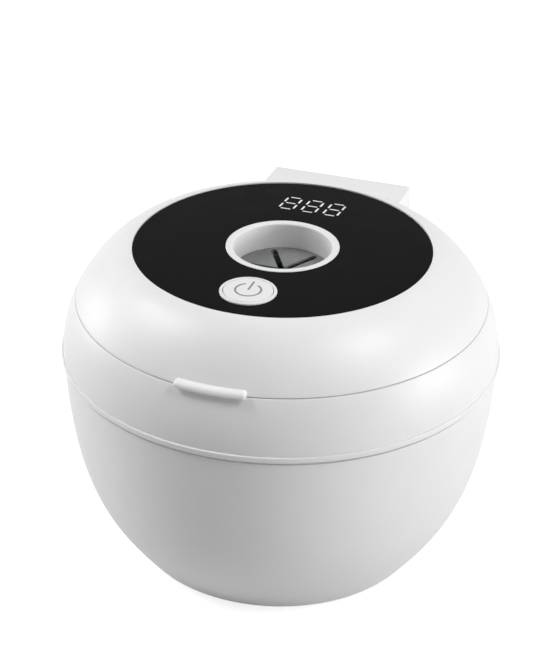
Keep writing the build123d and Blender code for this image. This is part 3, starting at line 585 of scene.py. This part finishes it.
def lowerBowl():
    # Rim with a fine groove under it, then the flank in one curve down to the flat underside
    bowl = {"beadHeight": 1.35, "beadStep": 0.5, "beadTopEdge": 0.2, "beadFootEdge": 0.15, "grooveRise": 0.1,
            "grooveDrop": 0.55, "grooveSunk": 0.6, "wall": 2.0, "flankRadius": 46.5, "flankDrop": 29.4,
            "heelRadius": 40.35, "heelRise": 10.1, "footRadius": 32.7, "heelPull": 1.6, "floorPull": 1.0,
            "footEdge": 0.4, "neckEdge": 0.05, "recessRadius": 21.35, "recessDepth": 2.0, "recessEdge": 0.2,
            "opening": 15.0, "floor": 2.0, "steps": 56}
    beadLow = bowlTop - bowl["beadHeight"]
    neck = beadRadius - bowl["beadStep"]
    grooveTop, grooveLow = beadLow + bowl["grooveRise"], beadLow - bowl["grooveDrop"]
    grooveRadius, recess = neck - bowl["grooveSunk"], bowl["recessRadius"]
    outer = bezierLine([(neck, beadLow), (bowl["flankRadius"], beadLow - bowl["flankDrop"]),
                        (bowl["heelRadius"], bowlLow + bowl["heelRise"]), (bowl["footRadius"], bowlLow)],
                       bowl["steps"])
    wall, coverTop = bowl["wall"], bowlLow + bowl["recessDepth"]
    floorTop, flankFloor = coverTop + bowl["floor"], bowlLow + wall
    inner = bezierLine([(neck - wall, beadLow), (bowl["flankRadius"] - wall, beadLow - bowl["flankDrop"]),
                        (bowl["heelRadius"] - bowl["heelPull"], bowlLow + bowl["heelRise"] + wall),
                        (bowl["footRadius"] - bowl["floorPull"], flankFloor)], bowl["steps"])
    # The outer curve starts in the groove, and its last points make way for the rounding at the foot
    outline = [(beadRadius, bowlTop, bowl["beadTopEdge"]),
               (beadRadius, grooveTop, bowl["beadFootEdge"]), (grooveRadius, grooveTop),
               (grooveRadius, grooveLow), (neck, grooveLow, bowl["neckEdge"]), *outer[1:-3],
               (*outer[-1], bowl["footEdge"]), (recess, bowlLow, bowl["recessEdge"]), (recess, coverTop),
               (bowl["opening"], coverTop), (bowl["opening"], floorTop), (recess + wall, floorTop),
               (recess + wall, flankFloor), *reversed(inner), (neck - wall, bowlTop)]
    shell = turnedPiece("lowerBowl", outline, shellSteps)
    inlet = {"gap": 0.3, "round": 1.7}
    (left, right), (low, high) = span("usb_socket", 0), span("usb_socket", 2)
    near = span("usb_socket", 1)[0]
    gap, corner = inlet["gap"], inlet["round"]
    mouth = [(left - gap, low - gap, corner), (right + gap, low - gap, corner),
             (right + gap, high + gap, corner), (left - gap, high + gap, corner)]
    combine(shell, slabPiece("inletMouth", mouth, 0, 2, near, beadRadius), "DIFFERENCE")
    return dress(shell, "white_abs", "base", "lower_bowl")


well = {"radius": 10.6, "tube": 12.0, "rim": 12.2, "rimRise": 0.18, "innerEdge": 0.45, "outerEdge": 0.15,
        "seat": 11.2, "seatEdge": 0.1, "footEdge": 0.2}


def wellCollar():
    rimTop = panelTop + well["rimRise"]
    outline = [(well["radius"], discTop, well["seatEdge"]), (well["radius"], rimTop, well["innerEdge"]),
               (well["rim"], rimTop, well["outerEdge"]), (well["rim"], panelTop), (well["tube"], panelTop),
               (well["tube"], linerLow, well["footEdge"]), (well["seat"], linerLow, well["footEdge"]),
               (well["seat"], discTop)]
    return dress(turnedPiece("wellCollar", outline), "white_abs", "lid", "well_collar")


def slitDisc():
    # Silicone splash membrane with a thick rim, and three slits that cross in the middle
    slits = {"radius": 11.15, "rimInner": 9.9, "thinRadius": 9.6, "thin": 0.5, "count": 3, "width": 1.4,
             "reach": 10.0, "endRound": 0.98, "edge": 0.08}
    thinLow = discTop - slits["thin"]
    outline = [(0, discTop), (slits["radius"], discTop), (slits["radius"], discLow),
               (slits["rimInner"], discLow), (slits["thinRadius"], thinLow), (0, thinLow)]
    membrane = turnedPiece("slitDisc", outline)
    half, reach = slits["width"] / 2, slits["reach"]
    for number in range(slits["count"]):
        corners = (-reach, -half), (reach, -half), (reach, half), (-reach, half)
        outline = [(x, y, half * slits["endRound"]) for x, y in corners]
        slot = slabPiece("slot", outline, 0, 1, discLow - past, discTop + past)
        slot.data.transform(Matrix.Rotation(tau / 2 * number / slits["count"], 4, "Z"))
        combine(membrane, slot, "DIFFERENCE")
    return dress(membrane, "grey_silicone", "lid", "well_slit_disc", softEdge=slits["edge"])


def discRetainer():
    retainer = {"bore": 9.9, "lowEdge": 0.25, "edge": 0.15}
    low, high = span("disc_retainer", 2)
    outer = span("disc_retainer", 0)[1]
    outline = [(retainer["bore"], low, retainer["lowEdge"]), (outer, low, retainer["edge"]), (outer, high),
               (retainer["bore"], high, retainer["edge"])]
    return dress(turnedPiece("discRetainer", outline), "natural_plastic", "lid", "disc_retainer")


button = {"cap": 5.15, "capTop": 0.43, "capEdge": 0.2, "gap": 0.15, "bezel": 5.95, "bezelRise": 0.39,
          "bezelEdge": 0.28, "neck": 5.7, "skirt": 0.3, "flange": 5.75, "flangeThickness": 1.0,
          "flangeEdge": 0.15, "boreEdge": 0.08}


def displayPanel():
    panel = {"edge": 0.12, "play": 0.05}
    play = panel["play"]
    outline = [(well["tube"] + play, panelLow), (panelRadius, panelLow), (panelRadius, panelTop, panel["edge"]),
               (well["tube"] + play, panelTop)]
    plate = turnedPiece("displayPanel", outline, shellSteps)
    reach, low, high = button["neck"] + play, panelLow - past, panelTop + past
    hole = [(0, low), (reach, low), (reach, high), (0, high)]
    combine(plate, turnedPiece("buttonHole", hole, smallSteps, (0, buttonY)), "DIFFERENCE")
    return dress(plate, "black_acrylic", "lid", "display_panel")


def displaySegments():
    # Three seven-bar figures that lean a little, every bar lit
    digits = {"y": 20.9, "count": 3, "pitch": 5.1, "height": 6.35, "width": 3.65, "lean": 5.0, "stroke": 0.42,
              "gap": 0.5, "thin": 0.36, "depth": 0.3, "rise": 0.015, "point": 0.14}
    rise = (digits["height"] - digits["stroke"]) / 2
    reach = (digits["width"] - digits["stroke"]) / 2
    flat = digits["width"] - digits["stroke"] - 2 * digits["gap"]
    upright = (digits["height"] - digits["stroke"]) / 2 - 2 * digits["gap"]
    bars = [(0, level * rise, flat, 0) for level in (-1, 0, 1)]
    bars += [(side * reach, level * rise / 2, upright, tau / 4 - radians(digits["lean"]))
             for side in (-1, 1) for level in (-1, 1)]
    bm = bmesh.new()
    for number in range(digits["count"]):
        centre = (number - (digits["count"] - 1) / 2) * digits["pitch"]
        for x, y, length, turn in bars:
            shear = y * sin(radians(digits["lean"]))
            place = Matrix.Translation(Vector((centre + x + shear, digits["y"] + y,
                                               panelTop + digits["rise"] - digits["depth"] / 2)) * mm)
            across = digits["stroke"] if turn else digits["thin"]
            size = Matrix.Diagonal((length * mm, across * mm, digits["depth"] * mm, 1))
            placed = place @ Matrix.Rotation(turn, 4, "Z") @ size
            cube = bmesh.ops.create_cube(bm, size=1.0, matrix=placed)["verts"]
            ends = {edge for vert in cube for edge in vert.link_edges
                    if abs(edge.verts[0].co.z - edge.verts[1].co.z) > digits["depth"] / 2 * mm}
            bmesh.ops.bevel(bm, geom=list(ends), offset=digits["point"] * mm, offset_type="OFFSET",
                            affect="EDGES", segments=2, profile=0.5, material=-1)
    return dress(toObject(bm, "displaySegments"), "lit_segment", "lid", "display_segments")


def buttonBezel():
    top = panelTop + button["bezelRise"]
    low = panelLow - button["skirt"]
    bore = button["cap"] + button["gap"]
    outline = [(bore, low), (button["neck"], low), (button["neck"], panelTop), (button["bezel"], panelTop),
               (button["bezel"], top, button["bezelEdge"]), (bore, top, button["boreEdge"])]
    return dress(turnedPiece("buttonBezel", outline, centre=(0, buttonY)), "white_abs", "lid", "button_bezel")


def buttonCap():
    top = panelTop + button["capTop"]
    flangeTop = panelLow - button["skirt"]
    flangeLow = flangeTop - button["flangeThickness"]
    outline = [(0, top), (button["cap"], top, button["capEdge"]), (button["cap"], flangeTop),
               (button["flange"], flangeTop), (button["flange"], flangeLow, button["flangeEdge"]),
               (0, flangeLow)]
    return dress(turnedPiece("buttonCap", outline, centre=(0, buttonY)), "white_abs", "button", "button_cap")


def powerIcon():
    # Generic stand-by sign: a ring open at the back with a short bar in the opening
    icon = {"radius": 2.67, "stroke": 0.45, "gapAngle": 29, "reach": 3.75, "thickness": 0.2, "rise": 0.012,
            "steps": 64}
    top = panelTop + button["capTop"] + icon["rise"]
    low = top - icon["thickness"]
    half = icon["stroke"] / 2
    near, far = icon["radius"] - half, icon["radius"] + half
    gap = radians(icon["gapAngle"])
    bm = sweptLoop([(near, low), (far, low), (far, top), (near, top)], tau - 2 * gap, icon["steps"],
                   tau / 4 + gap)
    place = Matrix.Translation(Vector((0, icon["reach"] / 2, (low + top) / 2)) * mm)
    size = Matrix.Diagonal((icon["stroke"] * mm, icon["reach"] * mm, icon["thickness"] * mm, 1))
    bmesh.ops.create_cube(bm, size=1.0, matrix=place @ size)
    bmesh.ops.translate(bm, vec=(0, buttonY * mm, 0), verts=bm.verts[:])
    return dress(toObject(bm, "powerIcon"), "grey_print", "button", "power_icon")


def tankCup():
    # Deep-drawn cup with a raised fill line and a flat flange
    cup = {"wall": 0.8, "corner": 4.0, "lineDrop": 7.5, "lineHeight": 0.5, "lineRise": 0.18, "lineEdge": 0.1,
           "mouthEdge": 0.4, "flangeEdge": 0.2, "underEdge": 0.3}
    wall, lineEdge, flangeEdge = cup["wall"], cup["lineEdge"], cup["flangeEdge"]
    outer = tankOuter - tankFlange
    inner = outer - wall
    floor, line, flangeLow = tankLow + wall, tankRim - cup["lineDrop"], tankRim - wall
    outline = [(0, floor), (inner, floor, cup["corner"]), (inner, line - cup["lineHeight"], lineEdge),
               (inner - cup["lineRise"], line - cup["lineHeight"] / 2, lineEdge), (inner, line, lineEdge),
               (inner, tankRim, cup["mouthEdge"]), (tankOuter, tankRim, flangeEdge),
               (tankOuter, flangeLow, flangeEdge), (outer, flangeLow, cup["underEdge"]),
               (outer, tankLow, cup["corner"] + wall), (0, tankLow)]
    return dress(turnedPiece("tankCup", outline, tankSteps), "stainless_tank", "base", "tank")


def lidGasket():
    low, high = span("lid_gasket", 2)
    outer = span("lid_gasket", 0)[1]
    lips = {"width": 2.2, "round": 0.32, "groove": 0.45, "grooveHalf": 0.2, "grooveEdge": 0.1}
    inner, middle = outer - lips["width"], outer - lips["width"] / 2
    half, soft = lips["grooveHalf"], lips["round"]
    outline = [(inner, high), (inner, low, soft), (middle - half, low, soft),
               (middle, low + lips["groove"], lips["grooveEdge"]), (middle + half, low, soft),
               (outer, low, soft), (outer, high)]
    return dress(turnedPiece("lidGasket", outline, tankSteps), "grey_silicone", "lid", "lid_gasket")


def lidLiner():
    liner = {"edge": 0.35, "groove": 0.3, "grooveWidth": 0.8, "grooveRadius": 38.9, "slope": 0.2,
             "grooveEdge": 0.08, "bore": 12.05, "boreEdge": 0.2}
    outer = span("lid_liner", 0)[1]
    near = liner["grooveRadius"]
    far = near + liner["grooveWidth"]
    bed, slope, soft = linerLow + liner["groove"], liner["slope"], liner["grooveEdge"]
    outline = [(liner["bore"], linerLow, liner["boreEdge"]), (near, linerLow, soft), (near + slope, bed, soft),
               (far - slope, bed, soft), (far, linerLow, soft), (outer, linerLow, liner["edge"]),
               (outer, linerTop), (liner["bore"], linerTop)]
    plate = turnedPiece("lidLiner", outline, shellSteps)
    back = span("lid_liner", 1)[1]
    low, high, clear = linerLow - past, linerTop + past, outer + past
    room = [(back, low), (back, high), (clear, high), (clear, low)]
    combine(plate, slabPiece("hingeRoom", room, 1, 2, -outer, outer), "DIFFERENCE")
    return dress(plate, "white_abs", "lid", "lid_liner")


screw = {"shank": 0.95, "head": 1.9, "headHeight": 1.1, "crown": 0.45, "headEdge": 0.1, "tip": 0.25,
         "recess": 0.42, "recessReach": 1.15, "recessDepth": 0.75}


def crossScrew(x, y, seat, length):
    # Pan head that faces down, with a cross recess; the shank runs up from the seat
    face = seat - screw["headHeight"]
    outline = [(0, face), (screw["head"], face, screw["crown"]), (screw["head"], seat, screw["headEdge"]),
               (screw["shank"], seat), (screw["shank"], seat + length, screw["tip"]), (0, seat + length)]
    one = turnedPiece("screw", outline, tinySteps, (x, y))
    half, reach = screw["recess"] / 2, screw["recessReach"]
    for across in (0, 1):
        width, depth = (half, reach) if across else (reach, half)
        bar = [(x - width, y - depth), (x + width, y - depth), (x + width, y + depth), (x - width, y + depth)]
        combine(one, slabPiece("recess", bar, 0, 1, face - past, face + screw["recessDepth"]), "DIFFERENCE")
    return one


def screwSet(name, node, count, start, body):
    # Screws stand evenly on one circle, at the places of their node
    (low, high), reach = span(node, 2), span(node, 0)[1]
    spots = [start + tau * number / count for number in range(count)]
    radius = (reach - screw["head"]) / max(cos(angle) for angle in spots)
    seat = low + screw["headHeight"]
    heads = [crossScrew(radius * cos(angle), radius * sin(angle), seat, high - seat) for angle in spots]
    return dress(gather(name, heads), "steel_hardware", body, node)


def baseCover():
    # Screwed plate under the bowl, with pockets for the feet and counterbores for the screws
    cover = {"edge": 0.25, "footCircle": 17.0, "footPocket": 3.25, "footSunk": 0.6, "screwCircle": 17.6,
             "headRoom": 2.1, "headSunk": 1.2, "shankRoom": 1.15, "count": 4, "steps": 160}
    low, high = span("base_cover", 2)
    outer = span("base_cover", 0)[1]
    outline = [(0, low), (outer, low, cover["edge"]), (outer, high), (0, high)]
    plate = turnedPiece("baseCover", outline, cover["steps"])
    start, pocketTop, headTop = low - past, low + cover["footSunk"], low + cover["headSunk"]
    pocket = [(0, start), (cover["footPocket"], start), (cover["footPocket"], pocketTop), (0, pocketTop)]
    screwHole = [(0, start), (cover["headRoom"], start), (cover["headRoom"], headTop),
                 (cover["shankRoom"], headTop), (cover["shankRoom"], high + past), (0, high + past)]
    holes = []
    for hole, circle, first in ((pocket, cover["footCircle"], tau / 8), (screwHole, cover["screwCircle"], 0.0)):
        for number in range(cover["count"]):
            turn = first + tau * number / cover["count"]
            holes.append(turnedPiece("hole", hole, tinySteps, (circle * cos(turn), circle * sin(turn))))
    combine(plate, gather("holes", holes), "DIFFERENCE")
    return dress(plate, "white_abs", "base", "base_cover")


def rubberFeet():
    # Soft pads with a rounded rim and a shallow hollow that grips
    feet = {"radius": 3.2, "circle": 17.0, "edge": 0.35, "hollow": 1.6, "hollowDepth": 0.15,
            "hollowRound": 0.3, "slope": 0.3, "slopeEdge": 0.1, "count": 4}
    low, high = span("rubber_feet", 2)
    hollow, hollowTop = feet["hollow"], low + feet["hollowDepth"]
    outline = [(0, hollowTop), (hollow, hollowTop, feet["hollowRound"]),
               (hollow + feet["slope"], low, feet["slopeEdge"]), (feet["radius"], low, feet["edge"]),
               (feet["radius"], high), (0, high)]
    turns = [tau / 8 + tau * number / feet["count"] for number in range(feet["count"])]
    pads = [turnedPiece("pad", outline, tinySteps, (feet["circle"] * cos(turn), feet["circle"] * sin(turn)))
            for turn in turns]
    return dress(gather("rubberFeet", pads), "foot_rubber", "base", "rubber_feet")


lensCase = {"pitch": 28.6, "well": 11.4, "wall": 1.4, "floor": 1.5, "floorCorner": 2.0, "rimEdge": 0.3,
            "footEdge": 0.6, "bridgeWidth": 10.0, "bridgeHeight": 3.0, "bridgeFoot": 0.5, "bridgeRound": 0.8,
            "bridgeLap": 1.0}


def lensCaseBody():
    half = lensCase["pitch"] / 2
    inner = lensCase["well"] - lensCase["wall"]
    floorTop = caseLow + lensCase["floor"]
    outline = [(0, floorTop), (inner, floorTop, lensCase["floorCorner"]), (inner, caseRim, lensCase["rimEdge"]),
               (lensCase["well"], caseRim, lensCase["rimEdge"]),
               (lensCase["well"], caseLow, lensCase["footEdge"]), (0, caseLow)]
    cups = [turnedPiece("cup", outline, smallSteps, (side * half, 0)) for side in (-1, 1)]
    width, reach = lensCase["bridgeWidth"] / 2, half - inner - lensCase["wall"] / 2 + lensCase["bridgeLap"]
    foot, top, high = lensCase["bridgeFoot"], lensCase["bridgeRound"], caseLow + lensCase["bridgeHeight"]
    bar = [(-width, caseLow, foot), (width, caseLow, foot), (width, high, top), (-width, high, top)]
    case = combine(cups[0], slabPiece("bridge", bar, 1, 2, -reach, reach), "UNION")
    combine(case, cups[1], "UNION")
    case.name = "lensCaseBody"
    return dress(case, "case_white", "lens_case", "lens_case_body")


def lensCap(name, node, slot, body):
    # Push-on cap with a fluted grip
    cap = {"gap": 0.3, "wall": 1.1, "flutes": 20, "flute": 0.45, "fluteShape": 0.7, "fluteBand": 0.3,
           "fluteDrop": 0.7, "fluteFull": 1.5, "fluteFoot": 0.6, "topEdge": 0.7, "footEdge": 0.15,
           "raised": 0.12, "border": 1.8, "slope": 0.4, "raisedRound": 0.2, "steps": 240}
    low, high = span(node, 2)
    middle = sum(span(node, 0)) / 2
    bore = lensCase["well"] + cap["gap"]
    outer = bore + cap["wall"]
    shoulder, raised, soft = high - cap["raised"], outer - cap["border"], cap["raisedRound"]
    outline = [(0, high), (raised - cap["slope"], high, soft), (raised, shoulder, soft),
               (outer, shoulder, cap["topEdge"]), (outer, high - cap["fluteFull"]),
               (outer, low + cap["fluteFoot"]), (outer, low, cap["footEdge"]), (bore, low, cap["footEdge"]),
               (bore, caseRim), (0, caseRim)]
    bm = bmesh.new()
    wireLoop(bm, outline)
    bmesh.ops.spin(bm, geom=bm.verts[:] + bm.edges[:], cent=(0, 0, 0), axis=(0, 0, 1), angle=tau,
                   steps=cap["steps"], use_merge=True)
    for vert in bm.verts:
        out = vert.co.xy.length / mm
        if out > outer - cap["fluteBand"] and vert.co.z / mm < high - cap["fluteDrop"]:
            wave = max(0.0, cos(cap["flutes"] * Vector((1, 0)).angle_signed(vert.co.xy)))
            grown = (out + cap["flute"] * wave ** cap["fluteShape"]) / out
            vert.co.x, vert.co.y = vert.co.x * grown, vert.co.y * grown
    bmesh.ops.translate(bm, vec=(middle * mm, 0, 0), verts=bm.verts[:])
    return dress(toObject(bm, name), slot, body, node)


lidShell()
bodyRing()
hingePin()
lowerBowl()
wellCollar()
slitDisc()
discRetainer()
displayPanel()
displaySegments()
buttonBezel()
buttonCap()
powerIcon()
tankCup()
lidGasket()
lidLiner()
screwSet("linerScrews", "liner_screws", 4, tau / 8, "lid")
screwSet("baseScrews", "base_screws", 4, 0.0, "base")
baseCover()
rubberFeet()
lensCaseBody()
lensCap("leftLensCap", "left_lens_cap", "case_white", "left_cap")
lensCap("rightLensCap", "right_lens_cap", "case_blue", "right_cap")
print("pieces made")


# Camera: about 18 degrees to the right of the front, looking down at the dome with a short tele lens
camera = {"place": (110.64, -336.06, 249.89), "turn": 18.266, "down": 29.451, "roll": 0.862, "lens": 99.107,
          "near": 0.01, "far": 20}


def setCamera():
    data = bpy.data.cameras.new("camera")
    data.lens = camera["lens"]
    data.clip_start, data.clip_end = camera["near"], camera["far"]
    viewer = bpy.data.objects.new("camera", data)
    bpy.context.scene.collection.objects.link(viewer)
    viewer.matrix_world = (Matrix.Translation(Vector(camera["place"]) * mm)
                           @ Matrix.Rotation(radians(camera["turn"]), 4, "Z")
                           @ Matrix.Rotation(radians(90 - camera["down"]), 4, "X")
                           @ Matrix.Rotation(radians(camera["roll"]), 4, "Z"))
    bpy.context.scene.camera = viewer


# Soft studio light. Each lamp: bearing from the front (plus is right), height angle and watts
lamps = {
    "rightHigh": {"bearing": 83, "height": 50, "watts": 72},
    "rightLow": {"bearing": 97, "height": 5, "watts": 97},
    "leftHigh": {"bearing": -83, "height": 46, "watts": 80},
    "leftLow": {"bearing": -98, "height": 5, "watts": 72},
    "backTop": {"bearing": 180, "height": 70, "watts": 12},
}
lampSetting = {"distance": 4.0, "size": 1.78, "aimHeight": 0.04}


def setLamps():
    aim = Vector((0, 0, lampSetting["aimHeight"]))
    for name, lamp in lamps.items():
        data = bpy.data.lights.new(name, "AREA")
        data.shape, data.size, data.energy = "DISK", lampSetting["size"], lamp["watts"]
        lampObject = bpy.data.objects.new(name, data)
        bpy.context.scene.collection.objects.link(lampObject)
        flat, rise = radians(lamp["bearing"]), radians(lamp["height"])
        toLamp = Vector((sin(flat) * cos(rise), -cos(flat) * cos(rise), sin(rise)))
        turn = toLamp.to_track_quat("Z", "Y").to_matrix().to_4x4()
        lampObject.matrix_world = Matrix.Translation(aim + toLamp * lampSetting["distance"]) @ turn
        lampObject.visible_camera = False


def seenBy(tree, seen, mirrored, other):
    # A strength that depends on who looks: the camera and clear pieces, mirror-like faces, or all the rest
    path = addNode(tree, "ShaderNodeLightPath").outputs
    eye = addNode(tree, "ShaderNodeMath", {"operation": "MAXIMUM"},
                  {0: path["Is Camera Ray"], 1: path["Is Transmission Ray"]}).outputs["Value"]
    gloss = addNode(tree, "ShaderNodeMapRange", {"To Min": other, "To Max": mirrored},
                    {"Value": path["Is Glossy Ray"]})
    return addNode(tree, "ShaderNodeMix", {"data_type": "FLOAT", 3: seen},
                   {0: eye, 2: gloss.outputs["Result"]}).outputs[0]


def setWorld():
    # Plain white to the eye, paler in reflections, and a little fill for the object
    room = {"seen": 1.0, "mirrored": 0.6, "fill": 0.116}
    world = bpy.data.worlds.new("studio")
    world.use_nodes = True
    tree = world.node_tree
    background = tree.nodes["Background"]
    background.inputs["Color"].default_value = (1, 1, 1, 1)
    tree.links.new(seenBy(tree, room["seen"], room["mirrored"], room["fill"]), background.inputs["Strength"])
    bpy.context.scene.world = world


def setFloor():
    # Pale paper: its diffuse part takes the shadow, and a lift brings the lit part up to white for the eye
    sheet = {"half": 4.0, "colour": "CBCBCB", "seen": 0.8, "mirrored": 0.4}
    bm = bmesh.new()
    bmesh.ops.create_grid(bm, x_segments=1, y_segments=1, size=sheet["half"])
    floor = linkMesh(bm, "floor")
    material = bpy.data.materials.new("floorPaper")
    material.use_nodes = True
    tree = material.node_tree
    tree.nodes.clear()
    paper = addNode(tree, "ShaderNodeBsdfDiffuse", {"Color": hexColour(sheet["colour"])}).outputs["BSDF"]
    glow = addNode(tree, "ShaderNodeEmission", {"Color": (1, 1, 1, 1)},
                   {"Strength": seenBy(tree, sheet["seen"], sheet["mirrored"], 0.0)}).outputs["Emission"]
    total = addNode(tree, "ShaderNodeAddShader", links={0: paper, 1: glow}).outputs["Shader"]
    addNode(tree, "ShaderNodeOutputMaterial", links={"Surface": total})
    floor.data.materials.append(material)


setCamera()
setLamps()
setWorld()
setFloor()
bpy.context.scene.view_settings.view_transform = "Standard"
print("camera, lamps and floor set")
